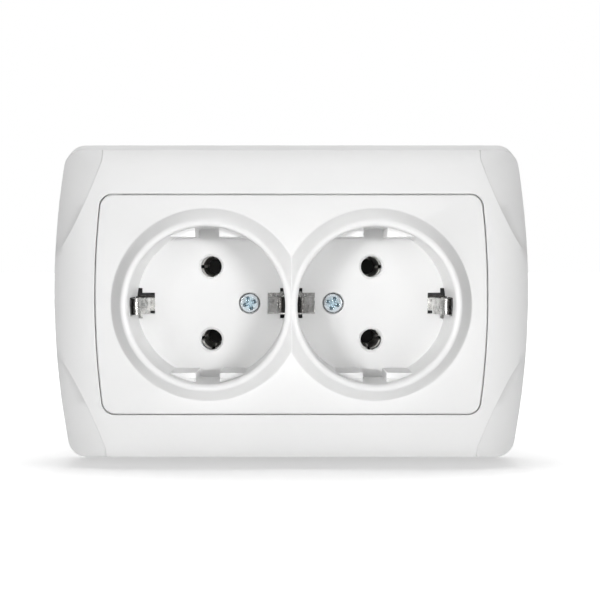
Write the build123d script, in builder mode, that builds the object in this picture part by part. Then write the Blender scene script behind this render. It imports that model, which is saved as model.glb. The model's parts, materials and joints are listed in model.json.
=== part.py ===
from build123d import *
from math import asin, atan2, cos, hypot, radians, sin, sqrt, tan
import os

os.makedirs("parts", exist_ok=True)

# Sizes in millimetres. X runs right, Y runs into the wall and Z runs up.
# The wall is the plane y = 0. Every "out" is a distance in front of it, every "depth" behind it.

# Plug recess
pin_pitch = 19.0
pin_hole_radius = 2.7
pin_hole_chamfer = 0.55
recess_radius = 19.3
recess_depth = 17.5
socket_spacing = 41.6
flat_half = 16.85
shelf_drop = 4.2
key_width = 5.9
ramp_width = 2.8
ramp_drop = 1.0
ramp_inset = 1.0

# Layers in front of the wall
strap_thick = 1.0
rail_thick = 0.8
floor_thick = 2.0
ring_height = 4.4
plate_thick = 2.0

# Socket cover
ring_width = 4.55
lip_radius = 0.98
ring_foot = 1.0
ring_crook = 0.6
cup_wall = 1.6
cover_side = 3.95
cover_top = 3.3
cover_corner = 3.3
cover_edge = 0.4
skirt_gap = 0.4
skirt_wall = 1.4
skirt_depth = 6.0
rib_thick = 1.2
rib_depth = 5.0

# Outer frame
side_border = 13.3
strap_cover = 4.1
frame_corner = 5.0
frame_wall = 2.2
frame_draft = 10.5
bow_radius = 205.0
arch_margin = 0.3
arch_reach = 18.6
arch_drop = 6.4
roll_margin = 1.1
roll_reach = 6.5
roll_drop = 3.4
cover_gap = 0.25
ledge_width = 1.6
ledge_thick = 2.0
ledge_backing = 2.4
ledge_overlap = 0.6

# Corner facets of the frame
facet_edge = 2.9
facet_along_top = 14.9
facet_down_side = 28.0
facet_bow = 0.7
facet_top_drop = 1.3
facet_side_drop = 3.1
facet_tilt = -9.0
facet_step = 0.45
facet_lean = 40.0
facet_overrun = 8.0

# Cover screws and nuts
screw_offset = 9.95
screw_radius = 1.45
screw_head_radius = 2.55
screw_head_height = 1.2
screw_head_bevel = 0.35
screw_head_play = 0.25
screw_end_depth = 10.0
nut_across = 5.5
nut_thick = 2.4
thread_play = 0.05
clearance = 0.2
cross_width = 0.75
cross_rim = 1.0
cross_depth = 0.9
cross_taper = 12.0
screw_turn = 20.0

# Earth rail and its four spring clips
rail_width = 6.0
rail_overrun = 0.7
clip_width = 4.0
clip_thick = 0.6
clip_bend = 0.8
clip_drop = 5.8
clip_root = 0.4
outer_clip_sag = 0.45
foot_inset = 0.2
foot_height = 4.0
# each bend of a clip, as its distance in from the recess wall and down from the clip's top
clip_bends = [(0.3, 7.5), (0.1, 1.5), (1.2, 0.0), (4.1, 5.1), (2.1, 9.5)]
slot_reach = 4.63
slot_side = 0.73
step_reach = 1.4
step_overrun = 0.3
step_side = 1.95
wall_slot_side = 0.25
wall_slot_head = 0.7
tongue_width = 6.0
tongue_low = -3.0
earth_screw_z = 1.5
earth_screw_radius = 1.7
earth_head_radius = 3.0
earth_head_height = 2.0
earth_screw_depth = 13.0
tongue_pad = 4.0
saddle_width = 8.0
saddle_height = 7.0
saddle_thick = 1.0
saddle_lip = 0.8

# Socket base and contacts
base_side = 5.7
base_rim = 5.5
base_cut_width = 4.5
base_cut_height = 4.0
base_depth = 21.0
base_round = 1.0
retainer_thick = 2.0
retainer_inset = 1.4
retainer_play = 0.1
shutter_reach = 2.0
shutter_rim = 0.4
sleeve_wall = 0.5
sleeve_pinch = 0.1
sleeve_taper = 2.6
sleeve_start = 3.0
sleeve_slit = 0.8
sleeve_collar = 2.0
trench_play = 0.5
terminal_x = 10.0
terminal_side = 7.0
terminal_depth = 5.5
terminal_sink = 0.5
terminal_screw_in = 2.8
terminal_head_radius = 2.1
terminal_head_height = 2.0
terminal_screw_length = 3.0
wire_hole_radius = 1.6
wire_hole_drop = 0.9
wire_hole_depth = 4.3

# Support strap, rivets and claws
strap_side = 4.5
strap_end = 7.0
strap_corner_cut = 6.0
strap_round = 3.0
box_screw_pitch = 60.0
box_slot_width = 4.2
box_slot_length = 7.0
rivet_x = 13.0
rivet_rise = 2.5
rivet_radius = 1.25
rivet_head_radius = 2.2
rivet_head_height = 0.7
rivet_ear_width = 9.0
rivet_ear_height = 6.0
rivet_ear_depth = 3.0
pivot_depth = 4.0
pivot_rise = 7.5
pivot_radius = 1.0
pivot_play = 0.2
ear_gap = 0.6
ear_thick = 1.0
ear_below = 3.0
ear_above = 2.9
ear_round = 2.0
notch_below = 0.9
claw_half_width = 5.0
claw_thick = 1.2
claw_knuckle = 1.0
claw_lever = 4.0
claw_foot = 1.4
claw_arm_length = 16.0
claw_arm_drop = 4.3
claw_tooth_lean = 0.6
claw_tooth_rise = 0.5
claw_tooth_gap = 5.2
claw_tooth_root = 2.4
claw_tip_gap = 0.2
claw_screw_radius = 1.6
claw_screw_tip = 1.2
claw_head_radius = 3.0
claw_head_height = 2.0
claw_head_out = 3.0

# Values that follow from those above
pin_z = pin_pitch / 2
half_spacing = socket_spacing / 2
cup_radius = recess_radius + cup_wall
ring_base_radius = recess_radius + ring_width
floor_back = strap_thick + rail_thick
floor_out = floor_back + floor_thick
lip_out = floor_out + recess_depth
shelf_out = lip_out - shelf_drop
plate_out = lip_out - ring_height
plate_back = plate_out - plate_thick
cover_half_width = half_spacing + ring_base_radius + cover_side
cover_half_height = ring_base_radius + cover_top
box_screw_z = box_screw_pitch / 2
strap_half_height = box_screw_z + strap_end
frame_half_width = cover_half_width + side_border
frame_half_height = strap_half_height + strap_cover
arch_start = frame_half_width - arch_margin - arch_reach
roll_start = frame_half_height - roll_margin - roll_reach
screw_x = half_spacing - screw_offset
base_half_width = half_spacing + base_side
base_half_height = pin_z + base_rim
rivet_z = base_half_height + rivet_rise
pivot_z = base_half_height + pivot_rise
claw_screw_z = pivot_z - claw_lever
ear_x = claw_half_width + ear_gap
retainer_back = retainer_thick - strap_thick
sleeve_radius = pin_hole_radius - sleeve_pinch + sleeve_wall
trench_radius = sleeve_radius + trench_play
terminal_back = base_depth - terminal_sink
strip_back = terminal_back - terminal_depth
trench_floor = strip_back + clearance
terminal_screw_y = strip_back + terminal_screw_in
terminal_top = pin_z + terminal_side / 2
screw_spots = [(-screw_x, 0), (screw_x, 0)]
pin_spots = [(x, z) for x in (-half_spacing, half_spacing) for z in (-pin_z, pin_z)]
rivet_spots = [(x, z) for x in (-rivet_x, rivet_x) for z in (-rivet_z, rivet_z)]
terminal_spots = [(terminal_x, pin_z), (-terminal_x, -pin_z)]
past_all = 2 * (frame_half_width + frame_half_height)


def wall_plane(out):
    """A sketch plane parallel to the wall, facing the room."""
    return Plane.XZ.offset(out)


def upright_plane(out):
    """The same plane with its first axis upright, so round seams lie at the top."""
    return Plane((0, -out, 0), x_dir=(0, 0, 1), z_dir=(0, -1, 0))


def bowed_face(out, half_width, half_height, corner):
    """A rectangle with bowed ends and round corners, parallel to the wall."""
    sag = bow_radius - sqrt(bow_radius**2 - half_height**2)
    edge = half_width - sag
    with BuildSketch(wall_plane(out)) as face:
        with BuildLine():
            Line((-edge, half_height), (edge, half_height))
            ThreePointArc((edge, half_height), (half_width, 0), (edge, -half_height))
            Line((edge, -half_height), (-edge, -half_height))
            ThreePointArc((-edge, -half_height), (-half_width, 0), (-edge, half_height))
        make_face()
        fillet(face.vertices(), corner)
    return face.sketch


def cross_recess(spots, head_radius, turn=0.0):
    """The cross that a driver fits, drawn in the sketch that calls for it."""
    length = 2 * (head_radius - cross_rim)
    with Locations(*spots):
        Rectangle(length, cross_width, rotation=turn)
        Rectangle(cross_width, length, rotation=turn)


# Outer frame
def front_slab(drop):
    """A deep slab under the frame's front, which falls away to all four sides."""
    top = -(plate_out - drop)
    with BuildPart() as slab:
        # a long curve to the left and right
        arch_end = (arch_start + arch_reach, top + arch_drop)
        with BuildSketch(Plane.XY):
            with BuildLine():
                Line((0, top), (arch_start, top))
                EllipticalCenterArc(
                    (arch_start, arch_end[1]), arch_reach, arch_drop, 270, arc_size=90
                )
                Polyline(arch_end, (past_all, arch_end[1]), (past_all, past_all), (0, past_all), (0, top))
            make_face()
            mirror(about=Plane.YZ)
        extrude(amount=past_all, both=True)
        # a short curve to the top and bottom
        roll_end = (top + roll_drop, roll_start + roll_reach)
        with BuildSketch(Plane.YZ):
            with BuildLine():
                Line((top, 0), (top, roll_start))
                EllipticalCenterArc(
                    (roll_end[0], roll_start), roll_drop, roll_reach, 90, arc_size=90
                )
                Polyline(roll_end, (roll_end[0], past_all), (past_all, past_all), (past_all, 0), (top, 0))
            make_face()
            mirror(about=Plane.XZ)
        extrude(amount=past_all, both=True, mode=Mode.INTERSECT)
    return slab.part


def frame_form(inset):
    """The closed outer shape of the frame, or of the hollow inside it."""
    slope = tan(radians(frame_draft))
    sections = []
    for out in (-frame_wall, plate_out + frame_wall):
        shrink = inset + out * slope
        sections.append(
            bowed_face(out, frame_half_width - shrink, frame_half_height - shrink, frame_corner - inset)
        )
    with BuildPart() as form:
        loft(sections, ruled=True)
        add(front_slab(inset), mode=Mode.INTERSECT)
    return form.part


# Each corner of the frame is a facet: the same front, tipped about a diagonal and set back
facet_top = (frame_half_width - facet_along_top, frame_half_height - facet_edge)
facet_side = (frame_half_width - facet_edge, frame_half_height - facet_down_side)
facet_sink = facet_side_drop - facet_top_drop
facet_run = Vector(facet_side[0] - facet_top[0], facet_side[1] - facet_top[1])
facet_axis = Axis(
    (facet_top[0], facet_top_drop - plate_out, facet_top[1]),
    (facet_run.X, facet_sink, facet_run.Y),
)
tipped_front = front_slab(0).rotate(facet_axis, facet_tilt).translate((0, facet_step, 0))
# the step down to it leans outward, so its line is drawn inside the place that it meets lower down
facet_outward = facet_run.rotate(Axis.Z, 90).normalized()
lean_back = facet_sink * tan(radians(facet_lean))
line_top = Vector(*facet_top)
line_side = Vector(*facet_side) - facet_outward * lean_back
line_run = (line_side - line_top).normalized()
line_outward = line_run.rotate(Axis.Z, 90)
line_start = line_top - line_run * facet_overrun
line_end = line_side + line_run * facet_overrun
line_middle = (line_top + line_side) / 2 - line_outward * facet_bow
with BuildPart() as corner_waste:
    with BuildSketch(wall_plane(plate_out - facet_top_drop)) as corner_face:
        with BuildLine():
            ThreePointArc(line_start, line_middle, line_end)
            Polyline(
                line_end,
                (past_all, line_end.Y),
                (past_all, past_all),
                (line_start.X, past_all),
                line_start,
            )
        make_face()
    extrude(corner_face.sketch, amount=facet_overrun, taper=-facet_lean)
    extrude(corner_face.sketch, amount=-arch_drop - facet_overrun, taper=facet_lean)
    add(tipped_front, mode=Mode.SUBTRACT)
with BuildPart() as corner_wastes:
    add(corner_waste.part)
    mirror(about=Plane.YZ)
    mirror(about=Plane.XY)

# The hollow behind the frame's front follows the same facets
with BuildPart() as frame_hollow:
    add(frame_form(frame_wall))
    add(corner_wastes.part.translate((0, frame_wall, 0)), mode=Mode.SUBTRACT)

opening_half_width = cover_half_width + cover_gap
opening_half_height = cover_half_height + cover_gap
with BuildPart() as outer_frame:
    add(frame_form(0))
    add(corner_wastes.part, mode=Mode.SUBTRACT)
    add(frame_hollow.part, mode=Mode.SUBTRACT)
    # the ledge that the cover presses on
    extrude(
        bowed_face(
            plate_back - ledge_thick,
            opening_half_width + ledge_backing,
            opening_half_height + ledge_backing,
            cover_corner + ledge_backing,
        ),
        amount=ledge_thick + ledge_overlap,
    )
    extrude(
        bowed_face(plate_back, opening_half_width, opening_half_height, cover_corner),
        amount=plate_out,
        mode=Mode.SUBTRACT,
    )
    extrude(
        bowed_face(
            plate_back - ledge_thick,
            opening_half_width - ledge_width,
            opening_half_height - ledge_width,
            cover_corner - ledge_width,
        ),
        amount=plate_out,
        mode=Mode.SUBTRACT,
    )
    # cut level with the wall
    with BuildSketch(wall_plane(0)):
        Rectangle(past_all, past_all)
    extrude(amount=-past_all, mode=Mode.SUBTRACT)
outer_frame.part.label = "outer_frame"
export_step(outer_frame.part, "parts/outer_frame.step")

# The hollow of one plug recess, with its flats, key slots and lead-in ramps
with BuildPart() as recess:
    with BuildSketch(upright_plane(shelf_out)):
        Circle(recess_radius)
    extrude(amount=shelf_drop - lip_radius)
    with BuildSketch(upright_plane(floor_out)):
        Rectangle(2 * flat_half, 2 * cup_radius)
        Rectangle(2 * cup_radius, key_width)
        Circle(recess_radius, mode=Mode.INTERSECT)
    extrude(amount=shelf_out - floor_out)
    with BuildSketch(Plane.XY):
        with Locations((0, -shelf_out)):
            for side in (-1, 1):
                Polygon(
                    (side * key_width / 2, 0),
                    (side * (key_width / 2 + ramp_width), 0),
                    (side * key_width / 2, ramp_drop),
                    align=None,
                )
    extrude(amount=recess_radius - ramp_inset, both=True)

# Socket cover: a plate with two raised rings and the cups behind them
lip_centre = (recess_radius + lip_radius, lip_out - lip_radius)
to_lip = (lip_centre[0] - ring_base_radius, lip_centre[1] - plate_out)
lip_distance = hypot(*to_lip)
cone_angle = atan2(to_lip[1], to_lip[0]) - asin(lip_radius / lip_distance)
cone_length = sqrt(lip_distance**2 - lip_radius**2)
cone_top = (
    ring_base_radius + cone_length * cos(cone_angle),
    plate_out + cone_length * sin(cone_angle),
)
skirt = ledge_width + skirt_gap
slot_start = recess_radius - slot_reach
step_start = recess_radius - step_reach
step_end = recess_radius + step_overrun
clip_top = lip_out - clip_drop


def clip_sag(side, way):
    """How far a clip sits below the middle of its slot: the outer ones hang a little low."""
    return outer_clip_sag if side == way else 0


with BuildPart() as socket_cover:
    extrude(
        bowed_face(plate_back, cover_half_width, cover_half_height, cover_corner),
        amount=plate_thick,
    )
    fillet(socket_cover.faces().sort_by(Axis.Y)[0].edges(), cover_edge)
    # a skirt behind the plate centres the frame
    extrude(
        bowed_face(
            plate_back - skirt_depth,
            cover_half_width - skirt,
            cover_half_height - skirt,
            cover_corner - skirt,
        ),
        amount=skirt_depth,
    )
    extrude(
        bowed_face(
            plate_back - skirt_depth,
            cover_half_width - skirt - skirt_wall,
            cover_half_height - skirt - skirt_wall,
            cover_edge,
        ),
        amount=skirt_depth,
        mode=Mode.SUBTRACT,
    )
    for side in (-1, 1):
        # ribs tie each cup to the skirt
        with BuildSketch(wall_plane(plate_back - rib_depth)):
            with Locations((side * half_spacing, 0), (side * (half_spacing + cup_radius / 2), 0)):
                Rectangle(rib_thick, 2 * (cover_half_height - skirt) - skirt_wall)
        extrude(amount=rib_depth)
        # the ring and its cup are one profile turned about the socket's axis
        middle = (side * half_spacing, 0, 0)
        with BuildSketch(Plane(middle, x_dir=(0, 0, 1), z_dir=(-1, 0, 0))) as turned:
            with BuildLine():
                Polyline(
                    (recess_radius, -lip_centre[1]),
                    (0, -lip_centre[1]),
                    (0, -floor_back),
                    (cup_radius, -floor_back),
                    (cup_radius, -plate_back),
                    (ring_base_radius + ring_foot, -plate_back),
                    (ring_base_radius + ring_foot, -plate_out),
                    (ring_base_radius, -plate_out),
                    (cone_top[0], -cone_top[1]),
                )
                ThreePointArc(
                    (cone_top[0], -cone_top[1]),
                    (lip_centre[0], -lip_out),
                    (recess_radius, -lip_centre[1]),
                )
            make_face()
            crook = turned.vertices().sort_by_distance((ring_base_radius, -plate_out, 0))[0]
            fillet(crook, ring_crook)
        revolve(axis=Axis(middle, (0, 1, 0)))
    for side in (-1, 1):
        add(recess.part.translate((side * half_spacing, 0, 0)), mode=Mode.SUBTRACT)
    # pin holes with their lead-in
    with BuildSketch(wall_plane(floor_back)):
        with Locations(*pin_spots):
            Circle(pin_hole_radius)
    extrude(amount=floor_thick, mode=Mode.SUBTRACT)
    with BuildSketch(wall_plane(floor_out)):
        with Locations(*pin_spots):
            Circle(pin_hole_radius + pin_hole_chamfer)
    extrude(amount=-pin_hole_chamfer, taper=45, mode=Mode.SUBTRACT)
    # sinks for the cover screws
    with BuildSketch(wall_plane(floor_back)):
        with Locations(*screw_spots):
            Circle(screw_radius + screw_head_play)
    extrude(amount=floor_thick, mode=Mode.SUBTRACT)
    with BuildSketch(wall_plane(floor_out)):
        with Locations(*screw_spots):
            Circle(screw_head_radius + screw_head_play)
    extrude(amount=-screw_head_height - clearance, mode=Mode.SUBTRACT)
    # openings for the earth clips, in the floor and up the wall
    for side in (-1, 1):
        for way in (-1, 1):
            with BuildSketch(wall_plane(floor_back)):
                with Locations((side * half_spacing + way * (slot_start + step_end) / 2, 0)):
                    Rectangle(step_end - slot_start, clip_width + 2 * slot_side)
                with Locations((side * half_spacing + way * (step_start + step_end) / 2, 0)):
                    Rectangle(step_end - step_start, clip_width + 2 * step_side)
            extrude(amount=floor_thick, mode=Mode.SUBTRACT)
            wall_slot_end = cup_radius + step_overrun
            wall_slot_x = side * half_spacing + way * (step_start + wall_slot_end) / 2
            with BuildSketch(wall_plane(floor_back)):
                with Locations((wall_slot_x, -clip_sag(side, way))):
                    Rectangle(wall_slot_end - step_start, clip_width + 2 * wall_slot_side)
            extrude(amount=clip_top + wall_slot_head - floor_back, mode=Mode.SUBTRACT)
socket_cover.part.label = "socket_cover"
export_step(socket_cover.part, "parts/socket_cover.step")

# Cover screws: flat heads with a cross recess
screw_seat = floor_out - screw_head_height - clearance
with BuildPart() as cover_screws:
    with BuildSketch(wall_plane(screw_seat)):
        with Locations(*screw_spots):
            Circle(screw_head_radius)
    extrude(amount=screw_head_height)
    chamfer(cover_screws.edges().group_by(Axis.Y)[0], screw_head_bevel)
    with BuildSketch(wall_plane(screw_seat)):
        with Locations(*screw_spots):
            Circle(screw_radius)
    extrude(amount=-screw_seat - screw_end_depth)
    with BuildSketch(wall_plane(screw_seat + screw_head_height)):
        cross_recess(screw_spots, screw_head_radius, screw_turn)
    extrude(amount=-cross_depth, taper=cross_taper, mode=Mode.SUBTRACT)
cover_screws.part.label = "cover_screws"
export_step(cover_screws.part, "parts/cover_screws.step")

# Captive nuts in the base
with BuildPart() as cover_nuts:
    with BuildSketch(wall_plane(-retainer_back)):
        with Locations(*screw_spots):
            RegularPolygon(nut_across / 2, 6, major_radius=False)
            Circle(screw_radius + thread_play, mode=Mode.SUBTRACT)
    extrude(amount=-nut_thick)
cover_nuts.part.label = "cover_nuts"
export_step(cover_nuts.part, "parts/cover_nuts.step")

# Support strap: a flat plate round the base, with ears for the claws
strap_half_width = base_half_width + strap_side
ear_bottom = pivot_z - ear_below
ear_top = pivot_z + ear_above
ear_depth = pivot_depth + ear_below
notch_bottom = pivot_z - notch_below
with BuildPart() as support_strap:
    with BuildSketch(wall_plane(0)) as strap_face:
        Rectangle(2 * strap_half_width, 2 * (rivet_z + rivet_ear_width / 2))
        Rectangle(2 * (rivet_x + rivet_head_radius), 2 * strap_half_height)
        chamfer(strap_face.vertices().group_by(Axis.X)[0], strap_corner_cut)
        chamfer(strap_face.vertices().group_by(Axis.X)[-1], strap_corner_cut)
        fillet(strap_face.vertices().group_by(Axis.Y)[0], strap_round)
        fillet(strap_face.vertices().group_by(Axis.Y)[-1], strap_round)
        Rectangle(
            2 * (base_half_width + clearance),
            2 * (base_half_height + clearance),
            mode=Mode.SUBTRACT,
        )
        with Locations((0, box_screw_z), (0, -box_screw_z)):
            SlotOverall(box_slot_length, box_slot_width, rotation=90, mode=Mode.SUBTRACT)
        with Locations((0, claw_screw_z), (0, -claw_screw_z)):
            Circle(claw_screw_radius + clearance, mode=Mode.SUBTRACT)
        with Locations((0, (ear_top + notch_bottom) / 2), (0, -(ear_top + notch_bottom) / 2)):
            Rectangle(2 * ear_x, ear_top - notch_bottom, mode=Mode.SUBTRACT)
        with Locations(*rivet_spots):
            Circle(rivet_radius + thread_play, mode=Mode.SUBTRACT)
    extrude(amount=strap_thick)
    # two ears bent back beside each claw
    for side in (-1, 1):
        for way in (-1, 1):
            with BuildSketch(Plane.YZ.offset(side * ear_x)):
                with Locations(((ear_depth - strap_thick) / 2, way * (ear_bottom + ear_top) / 2)):
                    Rectangle(ear_depth + strap_thick, ear_top - ear_bottom)
                with Locations((pivot_depth, way * pivot_z)):
                    Circle(pivot_radius + thread_play, mode=Mode.SUBTRACT)
            extrude(amount=side * ear_thick)
    fillet(support_strap.edges().filter_by(Axis.X).group_by(Axis.Y)[-1], ear_round)
support_strap.part.label = "support_strap"
export_step(support_strap.part, "parts/support_strap.step")

# Rivets that hold the base to the strap
with BuildPart() as strap_rivets:
    with BuildSketch(wall_plane(strap_thick + rivet_head_height)):
        with Locations(*rivet_spots):
            Circle(rivet_head_radius)
    extrude(amount=-rivet_head_height)
    with BuildSketch(wall_plane(strap_thick)):
        with Locations(*rivet_spots):
            Circle(rivet_radius)
    extrude(amount=-strap_thick - rivet_ear_depth)
    with BuildSketch(wall_plane(-rivet_ear_depth)):
        with Locations(*rivet_spots):
            Circle(rivet_head_radius)
    extrude(amount=-rivet_head_height)
strap_rivets.part.label = "strap_rivets"
export_step(strap_rivets.part, "parts/strap_rivets.step")


# Socket base: a block in the wall box with a trench for each contact rail
def base_face(out, inset):
    """The base's outline, a rectangle with its corners cut off, drawn in by an inset."""
    half_width = base_half_width - inset
    half_height = base_half_height - inset
    cut_x = half_width - base_cut_width
    cut_z = half_height - base_cut_height
    with BuildSketch(wall_plane(out)) as face:
        with BuildLine():
            Polyline((0, half_height), (cut_x, half_height), (half_width, cut_z), (half_width, 0))
            mirror(about=Plane.YZ)
            mirror(about=Plane.XZ)
        make_face()
    return face.sketch


tongue_high = tongue_low + rail_thick
tongue_z = (tongue_low + tongue_high) / 2
with BuildPart() as socket_base:
    extrude(base_face(strap_thick, 0), amount=-strap_thick - base_depth)
    fillet(socket_base.faces().sort_by(Axis.Y)[-1].edges(), base_round)
    # ears behind the strap take the rivets
    with BuildSketch(wall_plane(0)):
        with Locations(*rivet_spots):
            Rectangle(rivet_ear_width, rivet_ear_height)
    extrude(amount=-rivet_ear_depth)
    with BuildSketch(wall_plane(0)):
        with Locations(*rivet_spots):
            Circle(rivet_radius + thread_play)
    extrude(amount=-rivet_ear_depth, mode=Mode.SUBTRACT)
    # a seat for the retainer, then the trenches
    extrude(base_face(strap_thick, retainer_inset), amount=-retainer_thick, mode=Mode.SUBTRACT)
    with BuildSketch(wall_plane(-retainer_back)):
        with Locations((0, pin_z), (0, -pin_z)):
            SlotCenterToCenter(socket_spacing, 2 * trench_radius)
    extrude(amount=retainer_back - trench_floor, mode=Mode.SUBTRACT)
    # seats for the captive nuts and room for the screw ends
    with BuildSketch(wall_plane(-retainer_back)):
        with Locations(*screw_spots):
            RegularPolygon(nut_across / 2 + thread_play, 6, major_radius=False)
    extrude(amount=-nut_thick, mode=Mode.SUBTRACT)
    with BuildSketch(wall_plane(-retainer_back)):
        with Locations(*screw_spots):
            Circle(screw_radius + clearance)
    extrude(amount=retainer_back - screw_end_depth - clearance, mode=Mode.SUBTRACT)
    # a passage for the earth tongue and a hole for the earth screw
    with BuildSketch(wall_plane(-retainer_back)):
        with Locations((0, tongue_z)):
            Rectangle(tongue_width + 2 * clearance, rail_thick + 2 * clearance)
    extrude(amount=-base_depth, mode=Mode.SUBTRACT)
    with BuildSketch(wall_plane(-base_depth)):
        with Locations((0, earth_screw_z)):
            Circle(earth_screw_radius + clearance)
    extrude(amount=base_depth - earth_screw_depth + clearance, mode=Mode.SUBTRACT)
    # pockets for the two terminals, open to the rear, and driver holes to their screws
    with BuildSketch(wall_plane(-trench_floor)):
        with Locations(*terminal_spots):
            Rectangle(terminal_side + clearance, terminal_side + clearance)
    extrude(amount=trench_floor - base_depth, mode=Mode.SUBTRACT)
    for side in (-1, 1):
        with BuildSketch(Plane.XY.offset(side * pin_z)):
            with Locations((side * terminal_x, terminal_screw_y)):
                Circle(terminal_head_radius + screw_head_play)
        extrude(amount=side * base_rim, mode=Mode.SUBTRACT)
socket_base.part.label = "socket_base"
export_step(socket_base.part, "parts/socket_base.step")

# Contact retainer: an insulating plate that closes the trenches, with bars in front that guide
# the earth rail and close the clip slots to the rear
rail_half_length = half_spacing + recess_radius + rail_overrun
foot_start = half_spacing + step_start - foot_inset
foot_x = (foot_start + rail_half_length) / 2
foot_length = rail_half_length - foot_start
foot_spots = [(-foot_x, -foot_height / 2), (foot_x, -foot_height / 2)]
shutter_half_length = half_spacing + cup_radius + shutter_reach
shutter_half_height = pin_z - pin_hole_radius - clearance - shutter_rim
with BuildPart() as contact_retainer:
    extrude(base_face(strap_thick, retainer_inset + retainer_play), amount=-retainer_thick)
    with BuildSketch(wall_plane(strap_thick)):
        Rectangle(2 * shutter_half_length, 2 * shutter_half_height)
        Rectangle(socket_spacing, rail_width + 2 * clearance, mode=Mode.SUBTRACT)
        Rectangle(2 * (rail_half_length + clearance), clip_width + 2 * clearance, mode=Mode.SUBTRACT)
        with Locations(*foot_spots):
            Rectangle(foot_length + 2 * clearance, foot_height + 2 * clearance, mode=Mode.SUBTRACT)
    extrude(amount=rail_thick)
    with BuildSketch(wall_plane(strap_thick)):
        with Locations(*pin_spots):
            Circle(pin_hole_radius + clearance)
        with Locations(*screw_spots):
            Circle(screw_radius + screw_head_play)
        with Locations((0, tongue_z)):
            Rectangle(tongue_width + 2 * clearance, rail_thick + 2 * clearance)
    extrude(amount=-retainer_thick, mode=Mode.SUBTRACT)
contact_retainer.part.label = "contact_retainer"
export_step(contact_retainer.part, "parts/contact_retainer.step")

# Earth rail: one strip with four spring clips and a tongue to the rear terminal
clip_path = [(recess_radius - inset, clip_top - down) for inset, down in clip_bends]
clip_path.insert(0, (clip_path[0][0], floor_back - clip_root))
tongue_back = base_depth + rail_thick
tongue_top = earth_screw_z + tongue_pad
with BuildPart() as earth_rail:
    with BuildSketch(wall_plane(strap_thick)):
        Rectangle(2 * rail_half_length, clip_width)
        Rectangle(socket_spacing - 2 * clearance, rail_width)
        with Locations(*foot_spots):
            Rectangle(foot_length, foot_height)
        with Locations(*screw_spots):
            Circle(screw_radius + screw_head_play, mode=Mode.SUBTRACT)
    extrude(amount=rail_thick)
    for side in (-1, 1):
        for way in (-1, 1):
            bends = [(side * half_spacing + way * r, -out) for r, out in clip_path]
            with BuildSketch(Plane.XY.offset(-clip_sag(side, way))):
                with BuildLine():
                    FilletPolyline(*bends, radius=clip_bend)
                trace(line_width=clip_thick)
            extrude(amount=clip_width / 2, both=True)
    # the tongue runs back through the base and turns up over its rear face
    with BuildSketch(Plane.YZ):
        with BuildLine():
            Polyline(
                (-floor_back, tongue_low),
                (tongue_back, tongue_low),
                (tongue_back, tongue_top),
                (base_depth, tongue_top),
                (base_depth, tongue_high),
                (-floor_back, tongue_high),
                close=True,
            )
        make_face()
    extrude(amount=tongue_width / 2, both=True)
    with BuildSketch(wall_plane(-base_depth)):
        with Locations((0, earth_screw_z)):
            Circle(earth_screw_radius + clearance)
    extrude(amount=-rail_thick, mode=Mode.SUBTRACT)
earth_rail.part.label = "earth_rail"
export_step(earth_rail.part, "parts/earth_rail.step")

# Earth saddle and earth screw on the rear face
with BuildPart() as earth_saddle:
    with BuildSketch(wall_plane(-tongue_back)):
        with Locations((0, earth_screw_z)):
            Rectangle(saddle_width, saddle_height)
            Circle(earth_screw_radius + clearance, mode=Mode.SUBTRACT)
    extrude(amount=-saddle_thick)
    lip_x = (saddle_width - saddle_lip) / 2
    with BuildSketch(wall_plane(-tongue_back)):
        with Locations((-lip_x, earth_screw_z), (lip_x, earth_screw_z)):
            Rectangle(saddle_lip, saddle_height)
    extrude(amount=rail_thick)
earth_saddle.part.label = "earth_saddle"
export_step(earth_saddle.part, "parts/earth_saddle.step")

earth_head_front = tongue_back + saddle_thick
with BuildPart() as earth_screw:
    with BuildSketch(wall_plane(-earth_head_front)):
        with Locations((0, earth_screw_z)):
            Circle(earth_head_radius)
    extrude(amount=-earth_head_height)
    chamfer(earth_screw.edges().group_by(Axis.Y)[-1], screw_head_bevel)
    with BuildSketch(wall_plane(-earth_head_front)):
        with Locations((0, earth_screw_z)):
            Circle(earth_screw_radius)
    extrude(amount=earth_head_front - earth_screw_depth)
    with BuildSketch(wall_plane(-earth_head_front - earth_head_height)):
        cross_recess([(0, earth_screw_z)], earth_head_radius)
    extrude(amount=cross_depth, taper=cross_taper, mode=Mode.SUBTRACT)
earth_screw.part.label = "earth_screw"
export_step(earth_screw.part, "parts/earth_screw.step")

# Contact rails: a strip with two slit sleeves, and the same turned half round for neutral
sleeve_spots = [(-half_spacing, pin_z), (half_spacing, pin_z)]
with BuildPart() as live_rail:
    with BuildSketch(wall_plane(-strip_back)):
        with Locations((0, pin_z)):
            SlotCenterToCenter(socket_spacing, 2 * sleeve_radius)
    extrude(amount=rail_thick)
    with BuildSketch(wall_plane(-strip_back)):
        with Locations(*sleeve_spots):
            Circle(sleeve_radius)
    extrude(amount=strip_back - sleeve_start)
    with BuildSketch(wall_plane(-sleeve_start)):
        with Locations(*sleeve_spots):
            Circle(pin_hole_radius - sleeve_pinch)
    extrude(amount=sleeve_start - strip_back, taper=sleeve_taper, mode=Mode.SUBTRACT)
    with BuildSketch(wall_plane(-sleeve_start)):
        with Locations(*sleeve_spots):
            Rectangle(3 * sleeve_radius, sleeve_slit)
            Rectangle(sleeve_slit, 3 * sleeve_radius)
    extrude(amount=sleeve_start - strip_back + sleeve_collar + rail_thick, mode=Mode.SUBTRACT)
live_rail.part.label = "live_rail"
export_step(live_rail.part, "parts/live_rail.step")

with BuildPart() as neutral_rail:
    add(live_rail.part.rotate(Axis.Y, 180))
neutral_rail.part.label = "neutral_rail"
export_step(neutral_rail.part, "parts/neutral_rail.step")

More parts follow.
